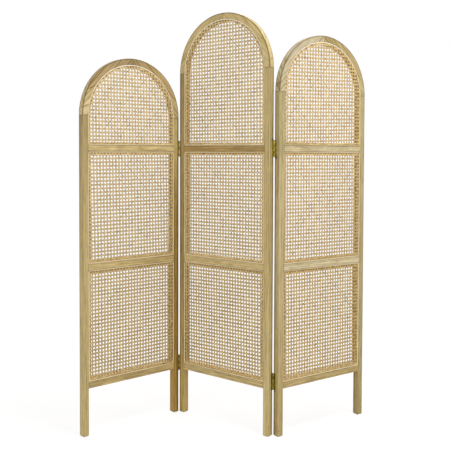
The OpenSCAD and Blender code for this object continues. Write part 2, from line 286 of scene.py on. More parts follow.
def build_board_grain():
    """Sawn wood whose fibres run along x: growth rings, streaks, bands, pores, cloud and mottle.

    Each is drawn out along the fibres, and the smaller its number below, the further.
    """
    figure_draw, pore_draw, cloud_draw, mottle_draw = 0.05, 0.035, 0.25, 0.22
    tree, ins, ends = shader_group(
        "board_grain",
        [
            ("Vector", "NodeSocketVector", (0, 0, 0)),
            ("Shift", "NodeSocketVector", (0, 0, 0)),
            ("Ring Spacing", "NodeSocketFloat", 0.008),
            ("Ring Wander", "NodeSocketFloat", 0.02),
        ],
        ("Rings", "Streaks", "Bands", "Pores", "Cloud", "Mottle", "Height"),
    )
    moved = vector_calc(tree, "ADD", ins["Vector"], ins["Shift"])
    drawn, pored, clouded, mottled = (
        vector_calc(tree, "MULTIPLY", moved, (draw, 1.0, 1.0))
        for draw in (figure_draw, pore_draw, cloud_draw, mottle_draw))
    parts = split(tree, drawn)
    slow = calc(tree, "SUBTRACT", cloud(tree, drawn, 14.0, 2.0), 0.5)
    across = calc(tree, "ADD", calc(tree, "MULTIPLY", parts["Y"], 0.9),
                  calc(tree, "MULTIPLY", parts["Z"], 0.5))
    across = calc(tree, "MULTIPLY_ADD", slow, ins["Ring Wander"], across)
    turns = calc(tree, "DIVIDE", across, ins["Ring Spacing"])
    wave = calc(tree, "SINE", calc(tree, "MULTIPLY", turns, math.tau))
    wave = calc(tree, "MULTIPLY_ADD", wave, 0.5, 0.5)
    late = calc(tree, "POWER", wave, 3.0)
    uneven = ramp(tree, cloud(tree, drawn, 45.0, 2.0), 0.35, 0.65)
    rings = calc(tree, "MULTIPLY", late, uneven)
    streaks = ramp(tree, cloud(tree, drawn, 210.0, 4.0, 0.6), 0.3, 0.7)
    bands = ramp(tree, cloud(tree, drawn, 105.0, 2.0, 0.6), 0.5, 0.72)
    pores = ramp(tree, cloud(tree, pored, 1500.0, 1.0), 0.6, 0.72)
    mottle = calc(tree, "SUBTRACT", cloud(tree, mottled, 95.0, 3.0, 0.6), 0.5)
    height = calc(tree, "MULTIPLY_ADD", streaks, 0.4, calc(tree, "MULTIPLY", pores, -0.7))
    return finish_group(tree, ends, Rings=rings, Streaks=streaks, Bands=bands, Pores=pores,
                        Cloud=cloud(tree, clouded, 12.0, 2.0), Mottle=mottle, Height=height)


def build_edge_band():
    """A ragged mask along an arris of a piece, for painted shade, and at its two ends."""
    tree, ins, ends = shader_group(
        "edge_band",
        [
            ("Vector", "NodeSocketVector", (0, 0, 0)),
            ("From End", "NodeSocketFloat", 1.0),
            ("Across", "NodeSocketFloat", 0.0),
            ("Through", "NodeSocketFloat", 0.0),
            ("Half Width", "NodeSocketFloat", 0.0135),
            ("Half Depth", "NodeSocketFloat", 0.015),
            ("Reach", "NodeSocketFloat", 0.004),
        ],
        ("Arris", "End"),
    )
    ragged = calc(tree, "MULTIPLY", cloud(tree, ins["Vector"], 55.0, 3.0), ins["Reach"])
    masks = []
    for place in ("Across", "Through"):
        edge = ins["Half Width" if place == "Across" else "Half Depth"]
        low = calc(tree, "SUBTRACT", calc(tree, "SUBTRACT", edge, ins["Reach"]), ragged)
        high = calc(tree, "MULTIPLY_ADD", ins["Reach"], -0.35, edge)
        masks.append(ramp(tree, ins[place], low, high))
    end = ramp(tree, ins["From End"], ins["Reach"], 0.0)
    return finish_group(tree, ends, Arris=calc(tree, "MULTIPLY", *masks), End=end)


def build_dust():
    """Faint blotches of handling and dust, for a colour or a roughness."""
    tree, ins, ends = shader_group(
        "dust",
        [("Vector", "NodeSocketVector", (0, 0, 0)), ("Scale", "NodeSocketFloat", 20.0)],
        ("Blotches",),
    )
    blotches = ramp(tree, cloud(tree, ins["Vector"], ins["Scale"], 5.0, 0.65), 0.35, 0.75)
    return finish_group(tree, ends, Blotches=blotches)


def build_fleck():
    """A long or round fleck with a ragged rim, at the middle of its own axes."""
    tree, ins, ends = shader_group(
        "fleck",
        [
            ("Vector", "NodeSocketVector", (0, 0, 0)),
            ("Length", "NodeSocketFloat", 0.02),
            ("Width", "NodeSocketFloat", 0.002),
        ],
        ("Mask",),
    )
    size = join(tree, ins["Length"], ins["Width"], 1.0)
    away = length_of(tree, vector_calc(tree, "DIVIDE", ins["Vector"], size))
    away = calc(tree, "MULTIPLY_ADD", cloud(tree, ins["Vector"], 300.0, 2.0), 0.5, away)
    return finish_group(tree, ends, Mask=ramp(tree, away, 1.1, 0.5))


BOARD_GRAIN = build_board_grain()
EDGE_BAND = build_edge_band()
DUST = build_dust()
FLECK = build_fleck()

# Materials

def own_axes(tree, stand, centre, along, across):
    """Object coordinates seen from a piece: x along it, y across its face, z through it."""
    turn = stand.to_3x3()
    along, across = Vector(along).normalized(), Vector(across).normalized()
    rows = Matrix([turn @ v for v in (along, across, along.cross(across))])
    feeds = {
        "Vector": object_place(tree),
        "Location": -(rows @ (stand @ Vector(centre))),
        "Rotation": rows.to_euler("XYZ"),
    }
    return put(tree, "ShaderNodeMapping", feeds, vector_type="POINT").outputs["Vector"]


def square_edges(half_length, outer, face, reach=3):
    """The ends and an outer arris of a squared piece that lies centred along x of its own axes.

    The outer side is where y is above 0 for an outer of 1, below for -1 and both for 0. The face
    tells the same of z. The reach of the dark band is in mm.
    """
    # The dark band along the arris is painted shade.
    def masks(tree, own):
        parts = split(tree, own)
        from_end = calc(tree, "SUBTRACT", half_length, calc(tree, "ABSOLUTE", parts["X"]))
        across, through = (
            calc(tree, "MULTIPLY", part, way) if way else calc(tree, "ABSOLUTE", part)
            for part, way in ((parts["Y"], outer), (parts["Z"], face)))
        return use_group(tree, EDGE_BAND, Vector=own, From_End=from_end, Through=through,
                         Across=across, Reach=reach * MM)
    return masks


def arch_edges(stand, spring):
    """The round arrises of an arch, for painted shade, and its joints at the crown and stiles."""
    def masks(tree, own):
        parts = split(tree, own_axes(tree, stand, (0, 0, spring), (1, 0, 0), (0, 0, 1)))
        radius = hypotenuse(tree, parts["X"], parts["Y"])
        from_end = calc(tree, "MINIMUM", calc(tree, "ABSOLUTE", parts["X"]),
                        calc(tree, "ABSOLUTE", parts["Y"]))
        return use_group(tree, EDGE_BAND, Vector=own, From_End=from_end,
                         Through=calc(tree, "ABSOLUTE", parts["Z"]),
                         Across=calc(tree, "SUBTRACT", radius, (PANEL_W - MEMBER_W) / 2))
    return masks


def tone_along(half_length, low, middle, high):
    """How a long board's red, green and blue change from one end over its middle to the other."""
    def tone(tree, own):
        place = split(tree, own)["X"]
        share = (ramp(tree, place, -half_length, 0.0),
                 ramp(tree, place, 0.2 * half_length, half_length))
        lower = mix_colour(tree, share[0], (*low, 1.0), (*middle, 1.0))
        return mix_colour(tree, share[1], lower, (*high, 1.0))
    return tone


def times(colour, by):
    """A colour with its red, green and blue each multiplied."""
    return [part * share for part, share in zip(colour, by)] + [1.0]


# By what a board's light colour is multiplied for its warm one, and its dark colour for its deep
# and for its olive one
WARM, DEEP, OLIVE = (0.98, 0.9, 0.78), (0.42, 0.36, 0.26), (0.9, 1.0, 1.25)
# How strongly the parts of its figure, its stained ends and its flecks show; the flecks include
# an insert's painted shade
BAND_SHARE, STREAK_SHARE, PORE_SHARE, END_SHARE, FLECK_SHARE = 0.42, 0.4, 0.4, 0.5, 0.9
# The colour of the painted shade at the ends of the hinges' recesses
RECESS_SHADE_DARK = (26, 16, 4)
# Roughness of oiled wood, and what its pores and its blotches add
WOOD_ROUGH, PORE_ROUGH, BLOTCH_ROUGH = 0.46, 0.15, 0.12


def wood(name, axes, board, seed, edges=None, arris=0.85, tone=None, flecks_and_shade=(), recess_shades=(),
         spacing=9 * MM, wander=24 * MM, figure=0.6, mottle=0.6):
    """Sawn and lightly oiled wood; its fibres run along x of the axes."""
    material, tree, shader = new_material(name)
    own = axes(tree)
    draw = random.Random(seed)
    shift = [draw.uniform(-4, 4) for _ in range(3)]
    grain = use_group(tree, BOARD_GRAIN, Vector=own, Shift=shift, Ring_Spacing=spacing,
                      Ring_Wander=wander)
    blotches = use_group(tree, DUST, Vector=own, Scale=9.0)["Blotches"]
    light, dark = (srgb(*colour) for colour in BOARDS[board])
    warm, deep, olive = times(light, WARM), times(dark, DEEP), times(dark, OLIVE)
    colour = mix_colour(tree, grain["Cloud"], light, warm)
    bands = calc(tree, "MULTIPLY", grain["Bands"], BAND_SHARE)
    colour = mix_colour(tree, bands, colour, olive)
    lines = calc(tree, "MULTIPLY_ADD", grain["Streaks"], STREAK_SHARE,
                 calc(tree, "MULTIPLY", grain["Rings"], figure))
    colour = mix_colour(tree, lines, colour, dark)
    pores = calc(tree, "MULTIPLY", grain["Pores"], PORE_SHARE)
    colour = mix_colour(tree, pores, colour, deep)
    colour = vector_calc(tree, "MULTIPLY", colour,
                         calc(tree, "MULTIPLY_ADD", grain["Mottle"], mottle, 1.0))
    if tone:
        colour = vector_calc(tree, "MULTIPLY", colour, tone(tree, own))
    # The dark arris band and an insert's shade among the flecks are painted shade; the dark ends,
    # knots and lines are the wood's own
    stain_and_shade = None
    if edges:
        band = edges(tree, own)
        stain_and_shade = calc(tree, "MAXIMUM", calc(tree, "MULTIPLY", band["Arris"], arris),
                       calc(tree, "MULTIPLY", band["End"], END_SHARE))
    for fleck in flecks_and_shade:
        mask = calc(tree, "MULTIPLY", fleck(tree), FLECK_SHARE)
        stain_and_shade = mask if stain_and_shade is None else calc(tree, "MAXIMUM", stain_and_shade, mask)
    if stain_and_shade is not None:
        colour = mix_colour(tree, stain_and_shade, colour, deep)
    # Painted shade at the ends of the hinges' recesses
    for recess_shade in recess_shades:
        colour = mix_colour(tree, recess_shade(tree), colour, srgb(*RECESS_SHADE_DARK))
    rough = calc(tree, "MULTIPLY_ADD", blotches, BLOTCH_ROUGH,
                 calc(tree, "MULTIPLY_ADD", grain["Pores"], PORE_ROUGH, WOOD_ROUGH))
    feed(tree, shader, Base_Color=colour, Roughness=rough, Specular_IOR_Level=0.35,
         Normal=bumped(tree, grain["Height"], 0.5, 0.25 * MM))
    return material


def fleck_at(stand, across, up, slant, length, width):
    """A dark line or knot in a panel's front, at a place on the panel."""
    turn = math.radians(slant)
    along, aside = (math.cos(turn), 0, math.sin(turn)), (-math.sin(turn), 0, math.cos(turn))

    def mask(tree):
        own = own_axes(tree, stand, (across * MM, -MEMBER_T / 2, up * MM), along, aside)
        own = vector_calc(tree, "MULTIPLY", own, (1, 1, 0))
        return use_group(tree, FLECK, Vector=own, Length=length * MM, Width=width * MM)["Mask"]
    return mask


def recess_shade_at(stand, across, up, depth, radius):
    """Painted shade at the end of a hinge's recess, seen in a stile's edge."""
    def mask(tree):
        own = own_axes(tree, stand, (across * MM, depth * MM, up * MM), (0, 0, 1), (0, 1, 0))
        own = vector_calc(tree, "MULTIPLY", own, (1, 1, 0))
        return use_group(tree, FLECK, Vector=own, Length=radius * MM, Width=radius * MM)["Mask"]
    return mask


def batten_shade(stand, low):
    """Painted shade on an insert's front and inner sides, behind the cane; not its lower batten.
    """
    def mask(tree):
        corner = (0, LAND_Y, low + BATTEN_W)
        parts = split(tree, own_axes(tree, stand, corner, (1, 0, 0), (0, 0, 1)))
        side = ramp(tree, parts["Z"], -0.6 * MM, -2.5 * MM, 0.0, 0.62)
        side = calc(tree, "MULTIPLY", side, ramp(tree, parts["Z"], -23 * MM, -16 * MM))
        front = ramp(tree, parts["Z"], -0.5 * MM, -0.2 * MM, 0.0, 0.75)
        return calc(tree, "MULTIPLY", calc(tree, "MAXIMUM", side, front),
                    ramp(tree, parts["Y"], 0.5 * MM, 6 * MM))
    return mask


def batten_light_tone(stand, low, lower):
    """Painted light and shade on an insert's lower batten, a stick of its own, against the rest.
    """
    def tone(tree, own):
        up = split(tree, own_axes(tree, stand, (0, 0, low + BATTEN_W), (1, 0, 0), (0, 0, 1)))["Y"]
        return mix_colour(tree, ramp(tree, up, 0.1 * MM, 0.5 * MM), (*lower, 1.0),
                          (1.0, 1.0, 1.0, 1.0))
    return tone


def batten_axes(stand, low, high, arched):
    """Grain along every batten of an insert: up its sides, along its ends, round its arch."""
    def axes(tree):
        centre = (low + high) / 2
        parts = split(tree, own_axes(tree, stand, (0, 0, centre), (1, 0, 0), (0, 0, 1)))
        across, up, through = parts["X"], parts["Y"], parts["Z"]
        level = calc(tree, "LESS_THAN", up, low + BATTEN_W - centre)
        if not arched:
            level = calc(tree, "MAXIMUM", level,
                         calc(tree, "GREATER_THAN", up, high - BATTEN_W - centre))
        upright = join(tree, up, across, through)
        # Another stick has another figure, so its place in the wood is moved
        lying = vector_calc(tree, "ADD", join(tree, across, up, through), (1.7, 0.4, 0.0))
        own = mix_place(tree, level, upright, lying)
        if not arched:
            return own
        rise = calc(tree, "SUBTRACT", up, high - centre)
        turn = calc(tree, "MULTIPLY", calc(tree, "ARCTAN2", rise, across), FIELD_W / 2)
        bent = join(tree, turn, hypotenuse(tree, across, rise), through)
        return mix_place(tree, calc(tree, "GREATER_THAN", rise, 0.0), own, bent)
    return axes


# Colours of the cane: its skin where it is fresh, older and oldest, its fibres, its blotches, its
# spots, and the dark of its rims, partly their own and partly painted shade, and the painted
# shade of its tucked ends
CANE_SKIN = ((250, 229, 174), (226, 192, 124), (138, 104, 54))
CANE_FIBRE, CANE_BLOTCH, CANE_SPOT = (172, 132, 70), (184, 146, 82), (104, 76, 34)
CANE_RIM = (84, 58, 24)
# Painted shade by height: the tone of the cane near the floor and near the top, and between
# which heights it changes
CANE_LOW, CANE_HIGH, CANE_HEIGHTS = (0.81, 0.79, 0.69), (0.97, 0.97, 0.97), (0.2, 1.6)


def cane(panel, light):
    """Split cane: tan, dark at its rims, brown near the floor, with fine fibres along it.

    Part of the dark at its rims, the dark of its tucked ends and the brown near the floor are
    painted shade.
    """
    material, tree, shader = new_material(f"{panel}_cane")
    tone, level, side = (attribute(tree, name) for name in ("tone", "level", "side"))
    route = join(tree, calc(tree, "MULTIPLY", attribute(tree, "along"), 25.0),
                 calc(tree, "MULTIPLY", side, 1.6), calc(tree, "MULTIPLY", tone, 90.0))
    fibres = ramp(tree, cloud(tree, route, 3.0, 3.0, 0.7), 0.3, 0.7)
    place = object_place(tree)
    blotches = use_group(tree, DUST, Vector=place, Scale=26.0)["Blotches"]
    spots = ramp(tree, cloud(tree, place, 170.0, 2.0), 0.54, 0.66)
    fresh, old, oldest = (srgb(*skin) for skin in CANE_SKIN)
    colour = mix_colour(tree, tone, fresh, old)
    colour = mix_colour(tree, ramp(tree, tone, 1.0, 2.0), colour, oldest)
    for mask, share, mark in ((fibres, 0.35, CANE_FIBRE), (blotches, 0.3, CANE_BLOTCH),
                              (spots, 0.65, CANE_SPOT)):
        colour = mix_colour(tree, calc(tree, "MULTIPLY", mask, share), colour, srgb(*mark))
    # Painted shade on the tucked ends; the dark rims are partly the cane's own edges and partly
    # painted shade
    rim = ramp(tree, calc(tree, "ABSOLUTE", side), 0.62, 1.0)
    sunk = ramp(tree, level, 0.2, 0.0)
    shade = calc(tree, "MAXIMUM", calc(tree, "MULTIPLY", rim, 0.85),
                 calc(tree, "MULTIPLY", sunk, 0.6))
    colour = mix_colour(tree, shade, colour, srgb(*CANE_RIM))
    # Painted shade, darker and browner towards the floor
    low, high = ([part * light for part in end] + [1.0] for end in (CANE_LOW, CANE_HIGH))
    height_shade = mix_colour(tree, ramp(tree, split(tree, place)["Z"], *CANE_HEIGHTS), low, high)
    colour = vector_calc(tree, "MULTIPLY", colour, height_shade)
    # Painted light where the cane lies over a batten
    colour = mix_colour(tree, ramp(tree, level, 0.9, 1.2), colour,
                        vector_calc(tree, "MULTIPLY", colour, RIM_CANE_LIGHT[panel]))
    feed(tree, shader, Base_Color=colour, Normal=bumped(tree, fibres, 0.4, 0.15 * MM),
         Roughness=calc(tree, "MULTIPLY_ADD", fibres, 0.2, 0.38))
    return material


# Colours of a reed where it stands, where it lies level, which is painted light, where it is
# painted shade, and of its fibres
REED_UPRIGHT, REED_LEVEL, REED_SHADE = (234, 219, 184), (253, 247, 232), (190, 168, 122)
REED_FIBRE = (208, 188, 144)


def reed():
    """The round reed that is hammered into the groove, with painted light and painted shade along
    it.
    """
    material, tree, shader = new_material("reed")
    route = join(tree, calc(tree, "MULTIPLY", attribute(tree, "along"), 12.0),
                 attribute(tree, "side"))
    fibres = ramp(tree, cloud(tree, route, 4.0, 3.0, 0.7), 0.3, 0.7)
    # Painted light where the reed lies level, and painted shade on the stretches the route marks
    colour = mix_colour(tree, attribute(tree, "tone"), srgb(*REED_UPRIGHT), srgb(*REED_LEVEL))
    colour = mix_colour(tree, attribute(tree, "level"), srgb(*REED_SHADE), colour)
    colour = mix_colour(tree, calc(tree, "MULTIPLY", fibres, 0.6), colour, srgb(*REED_FIBRE))
    feed(tree, shader, Base_Color=colour, Normal=bumped(tree, fibres, 0.4, 0.15 * MM),
         Roughness=calc(tree, "MULTIPLY_ADD", fibres, 0.2, 0.45))
    return material


def brass(name, bright, dull):
    """Brass plate, dulled in blotches and scratched along its height."""
    material, tree, shader = new_material(name)
    place = object_place(tree)
    blotches = use_group(tree, DUST, Vector=place, Scale=95.0)["Blotches"]
    brushed = cloud(tree, vector_calc(tree, "MULTIPLY", place, (1.0, 1.0, 0.04)), 2500.0, 2.0)
    colour = mix_colour(tree, blotches, srgb(*bright), srgb(*dull))
    feed(tree, shader, Base_Color=colour, Metallic=1.0,
         Normal=bumped(tree, brushed, 0.15, 0.1 * MM),
         Roughness=calc(tree, "MULTIPLY_ADD", blotches, 0.2, 0.28))
    return material


# Tones of the pieces

# The light and the dark colour of every board that the pieces were cut from
BOARDS = {
    "plain": ((196, 178, 129), (144, 120, 68)),
    "light": ((207, 190, 141), (154, 131, 80)),
    "pale": ((214, 204, 171), (160, 138, 92)),
    "deep": ((187, 168, 117), (134, 109, 58)),
    "brown": ((172, 149, 98), (122, 94, 44)),
    "umber": ((160, 134, 72), (106, 80, 26)),
    "batten": ((214, 190, 142), (174, 144, 94)),
}
# The board of each piece, in the order of the panels; the brown and umber stiles that meet at
# the left fold are partly their own darker wood and partly painted shade of the valley there
STILE_BOARD = {"left": ("plain", "brown", "plain"), "right": ("umber", "plain", "deep")}
RAIL_BOARD = {"bottom": ("deep", "plain", "deep"), "middle": ("plain", "light", "pale"),
              "upper": ("light", "brown", "pale")}
ARCH_BOARD = {"left": ("plain", "plain", "pale"), "right": ("plain", "light", "plain")}
# How the tone of a stile changes from its foot over its middle to its top; the dark of the left
# panel's right stile below its top is partly painted shade of the valley at the left fold
STILE_TONE = {
    "left": (((0.95, 0.97, 0.94), (0.93, 0.95, 0.94), (0.71, 0.70, 0.68)),
             ((1.30, 1.38, 1.16), (0.99, 1.01, 0.96), (0.91, 0.98, 1.17)),
             ((0.85, 0.83, 0.76), (1.00, 1.06, 1.22), (0.86, 0.93, 1.01))),
    "right": (((1.2, 1.1, 0.78), (0.95, 0.92, 0.72), (1.57, 1.9, 3.0)),
              ((1.11, 1.16, 1.20), (0.97, 0.97, 0.98), (0.90, 0.92, 0.89)),
              ((0.80, 0.82, 0.79), (0.95, 1.03, 1.20), (1.07, 1.17, 1.35))),
}
# The same for a half arch, from its left end to its right end
ARCH_TONE = {
    "left": (((1.22, 1.33, 1.62), (0.82, 0.78, 0.82), (0.63, 0.60, 0.62)),
             ((1.00, 1.02, 1.00), (1.10, 1.10, 1.09), (0.99, 1.00, 0.98)),
             ((0.88, 0.91, 0.94), (0.81, 0.82, 0.89), (0.83, 0.85, 0.88))),
    "right": (((0.62, 0.59, 0.60), (0.87, 0.82, 0.80), (1.04, 1.09, 1.22)),
              ((1.00, 1.00, 0.98), (1.01, 1.03, 1.00), (1.02, 1.06, 1.10)),
              ((0.83, 0.85, 0.88), (0.93, 0.94, 0.93), (0.96, 1.03, 1.13))),
}
# How strongly the rings of each half arch show, how far apart they are and how much they wander
ARCH_FIGURE = {"left": (1.5, 0.5, 1.3), "right": (1.4, 0.5, 0.8)}
ARCH_SPACING, ARCH_WANDER = 13 * MM, 34 * MM
# How strong the mottle of the rails is
RAIL_MOTTLE = 1.2
# The face whose outer arris gets painted shade and how far that shade reaches in mm: 1 is the
# back face, -1 the front one
STILE_ARRIS = {"left": ((1, 4), (-1, 6), (1, 7)), "right": ((-1, 8), (1, 8), (-1, 3))}
# Painted light and shade on the lower batten of each field, against the rest of its insert
LOWER_BATTEN_LIGHT = ((1.38, 1.34, 1.25), (1.05, 1.04, 1.0), (0.85, 0.84, 0.82))
# How much each panel's reeds keep their lit colour against their painted shade: up the left, up
# the right, and along the foot of each field
REED_LIT = {
    "left_panel": (0.75, 0.9, (1.0, 1.0, 0.7)),
    "middle_panel": (1.0, 0.2, (1.0, 1.0, 1.0)),
    "right_panel": (0.0, 1.0, (1.0, 0.9, 0.15)),
}
# How dark the painted shade on rail arrises is: the upper ones, and on the side panels both
RAIL_ARRIS = {"bottom": (0.1, 0.1, 0.15), "middle": (0.35, 0.3, 0.5), "upper": (0.6, 0.4, 0.75)}
# How light the cane of each panel is, and how much darker its uprights are, as painted shade of
# their sides
CANE_LIGHT = (0.95, 1.0, 1.04)
UPRIGHT_SHADE = (0.0, 0.0, 0.9)
# Painted light: how much lighter and warmer the cane is where it lies over a batten
RIM_CANE_LIGHT = {
    "left_panel": (1.27, 1.26, 1.22),
    "middle_panel": (1.28, 1.27, 1.22),
    "right_panel": (1.34, 1.33, 1.28),
}
# Dark lines and knots in some fronts: across and up in mm, slant in degrees, half length and half
# width in mm
FLECKS = {
    "left_panel_left_arch": ((-236, 1387, 25, 30, 4), (-205, 1466, 32, 32, 4)),
    "right_panel_left_arch": ((-248.5, 1488, 84, 48, 2.5),),
    "right_panel_left_stile": ((-246, 26, 90, 6, 4),),
    "middle_panel_right_arch": ((206, 1672, 50, 7, 4),),
}
# Recess ends whose shade is painted as dark dots in a stile's edge: across, up, depth, radius in
# mm
RECESS_SHADES = {
    "middle_panel_right_stile": ((250, 1247, 9, 15), (250, 269, 9, 6)),
    "right_panel_left_stile": ((-250, 1177, 9, 15), (-250, 190, 9, 6)),
}


def dress(node, material):
    """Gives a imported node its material."""
    mesh = frame["nodes"][node].data
    mesh.materials.clear()
    mesh.materials.append(material)


def dress_panel(k, panel):
    """The wood of one panel: its stiles and arches, rails, inserts and dowels."""
    stand, spring = STAND[panel], spring_z(panel)
    reach = (PANEL_W - MEMBER_W) / 2

    def lying(centre, along, across):
        return lambda tree: own_axes(tree, stand, centre, along, across)

    def seed(kind, i=0):
        return SEEDS[kind] + 10 * k + i

    for s, side in ((-1, "left"), (1, "right")):
        name = f"{panel}_{side}_stile"
        dress(name, wood(name, lying((s * reach, 0, spring / 2), (0, 0, 1), (1, 0, 0)),
                         STILE_BOARD[side][k], seed("stile", s),
                         square_edges(spring / 2, s, *STILE_ARRIS[side][k]),
                         tone=tone_along(spring / 2, *STILE_TONE[side][k]),
                         flecks_and_shade=[fleck_at(stand, *fleck) for fleck in FLECKS.get(name, ())],
                         recess_shades=[recess_shade_at(stand, *recess_shade) for recess_shade in RECESS_SHADES.get(name, ())]))
        name = f"{panel}_{side}_arch"
        middle = (s * reach / 2, 0, spring + reach / 2)
        dress(name, wood(name, lying(middle, (1, 0, -s), (s, 0, 1)),
                         ARCH_BOARD[side][k], seed("arch", s), arch_edges(stand, spring),
                         tone=tone_along(reach / math.sqrt(2), *ARCH_TONE[side][k]),
                         flecks_and_shade=[fleck_at(stand, *fleck) for fleck in FLECKS.get(name, ())],
                         spacing=ARCH_SPACING, wander=ARCH_WANDER,
                         figure=ARCH_FIGURE[side][k]))
    for i, rail in enumerate(RAILS):
        name = f"{panel}_{rail}_rail"
        dress(name, wood(name, lying((0, 0, rail_z(i) + RAIL_H / 2), (1, 0, 0), (0, 0, 1)),
                         RAIL_BOARD[rail][k], seed("rail", i),
                         square_edges(FIELD_W / 2, 1 if panel == "middle_panel" else 0, 0),
                         arris=RAIL_ARRIS[rail][k], mottle=RAIL_MOTTLE))
    for i, field in enumerate(FIELDS):
        # Each insert gets painted shade among its flecks and painted light and shade on its lower
        # batten
        name = f"{panel}_{field}_insert"
        low, high = field_zs(panel, i)
        dress(name, wood(name, batten_axes(stand, low, high, i == 2), "batten",
                         seed("insert", i), tone=batten_light_tone(stand, low, LOWER_BATTEN_LIGHT[i]),
                         flecks_and_shade=(batten_shade(stand, low),)))
    name = f"{panel}_dowels"
    dress(name, wood(name, lying((0, 0, 0), (1, 0, 0), (0, 0, 1)), "batten",
                     SEEDS["dowels"] + k))


# The bright and the dull colour of the leaves of each fold, of the pins and of the screws; the
# leaves are one brass, and their colours differ by fold and by leaf as painted light and shade
LEAF_BRASS = {
    ("left", "fixed"): ((158, 142, 80), (110, 94, 48)),
    ("left", "swing"): ((192, 172, 108), (138, 120, 70)),
    ("right", "fixed"): ((184, 172, 92), (112, 100, 42)),
    ("right", "swing"): ((150, 138, 66), (90, 80, 32)),
}
PIN_BRASS = (120, 108, 50), (72, 62, 24)
SCREW_BRASS = (120, 104, 44), (80, 66, 22)


def dress_hardware():
    """The brass of every hinge: its two leaves, its pin and the screws of its panels."""
    pin, screws = brass("pin_brass", *PIN_BRASS), brass("screw_brass", *SCREW_BRASS)
    for (side, leaf), colours in LEAF_BRASS.items():
        finish = brass(f"{side}_{leaf}_leaf_brass", *colours)
        for hinge in ("lower", "upper"):
            dress(f"{side}_fold_{hinge}_{leaf}_leaf", finish)
    for fold in ("left_fold", "right_fold"):
        for hinge in ("lower", "upper"):
            dress(f"{fold}_{hinge}_pin", pin)
    for panel in PANELS:
        dress(f"{panel}_hinge_screws", screws)


# Routes of cane and reed

def inside(panel, i, inset):
    """Tells whether a place on the sheet lies within a field drawn in by an inset."""
    low, high = field_zs(panel, i)
    reach = FIELD_W / 2 - inset
    low += inset
    if i < 2:
        return lambda u, v: abs(u) <= reach and low <= v <= high - inset
    return lambda u, v: abs(u) <= reach and v >= low and (
        v <= high or math.hypot(u, v - high) <= reach)


def wandered(u, v, seed):
    """Moves a place a little, as cane that is pulled unevenly."""
    p = Vector((u, v)) / WANDER_LENGTH
    shift = noise.noise_vector(Vector((p.x, p.y, seed * WANDER_STEP)))
    return u + WANDER * shift.x, v + WANDER * shift.y


def clip(stations, within):
    """The part of a route inside a field, with its ends exactly on the outline."""
    kept = []
    for a, b in zip(stations, stations[1:]):
        there, then = within(*a[:2]), within(*b[:2])
        if there and not kept:
            kept.append(a)
        if there != then:
            inner, outer = (a, b) if there else (b, a)
            low, high = 0.0, 1.0
            for _ in range(HALVINGS):
                share = (low + high) / 2
                p = [m + share * (n - m) for m, n in zip(inner, outer)]
                low, high = (share, high) if within(*p[:2]) else (low, share)
            kept.append(tuple(m + low * (n - m) for m, n in zip(inner, outer)))
        if then:
            kept.append(b)
    return kept


def tucked(route):
    """Bends both ends of a strand down into the groove beside the reed."""
    def bend(end, neighbour):
        a, b = Vector(end[:2]), Vector(neighbour[:2])
        if (b - a).length < TUCK_RUN:
            return [(*a, -TUCK_DEPTH)]
        start = a + (b - a).normalized() * TUCK_RUN
        return [(*a, -TUCK_DEPTH), (*start, TUCK_START)]
    first, last = bend(route[0], route[1]), bend(route[-1], route[-2])
    return first + route[1:-1] + last[::-1]


def weave_routes(panel, i):
    """Every strand of one field as (route, family); a place is (across, up, height)."""
    pitch_u, pitch_v, shift_u, shift_v = (p * MM for p in WEAVE_LAY[panel][i][:4])
    lean_u, lean_v = WEAVE_LAY[panel][i][4:]
    low, high = field_zs(panel, i)
    top = high if i < 2 else high + FIELD_W / 2
    columns = math.ceil(FIELD_W / 2 / pitch_u) + 2
    rows = math.ceil((top - low) / 2 / pitch_v) + 2
    middle = (low + top) / 2
    us = [shift_u + c * pitch_u for c in range(-columns, columns + 1)]
    vs = [middle + shift_v + r * pitch_v for r in range(-rows, rows + 1)]
    half = PAIR_GAP / 2
    routes = []
    for u in us:
        for s in (-1, 1):
            route = []
            for v in vs:
                route += [(u + s * half, v - half, MIDDLE - s * CROSS),
                          (u + s * half, v + half, MIDDLE + s * CROSS),
                          (u + s * half, v + pitch_v / 2, MIDDLE)]
            routes.append((route, "upright"))
    for v in vs:
        for s in (-1, 1):
            route = []
            for u in us:
                route += [(u - half, v + s * half, MIDDLE + s * CROSS),
                          (u + half, v + s * half, MIDDLE - s * CROSS),
                          (u + pitch_u / 2, v + s * half, MIDDLE)]
            routes.append((route, "level"))
    count = 2 * (columns + rows) + 2
    for slope in (1, -1):
        for start in range(-count, count):
            route = []
            for n in range(-columns - 1, columns + 2):
                u = shift_u + n * pitch_u
                v = middle + shift_v + (start + 0.5 + slope * n) * pitch_v
                if not low - 2 * pitch_v < v < top + 2 * pitch_v:
                    continue
                under, over = (LOW, HIGH) if slope > 0 else (HIGH, LOW)
                for share, height in ((-PLATEAU, under), (PLATEAU, under),
                                      (0.5 - PLATEAU, over), (0.5 + PLATEAU, over)):
                    route.append((u + share * pitch_u, v + slope * share * pitch_v, height))
            routes.append((route, "rising" if slope > 0 else "falling"))
    return [([(u + lean_u * (v - middle), v + lean_v * u, h) for u, v, h in route], family)
            for route, family in routes]


# Sweeping

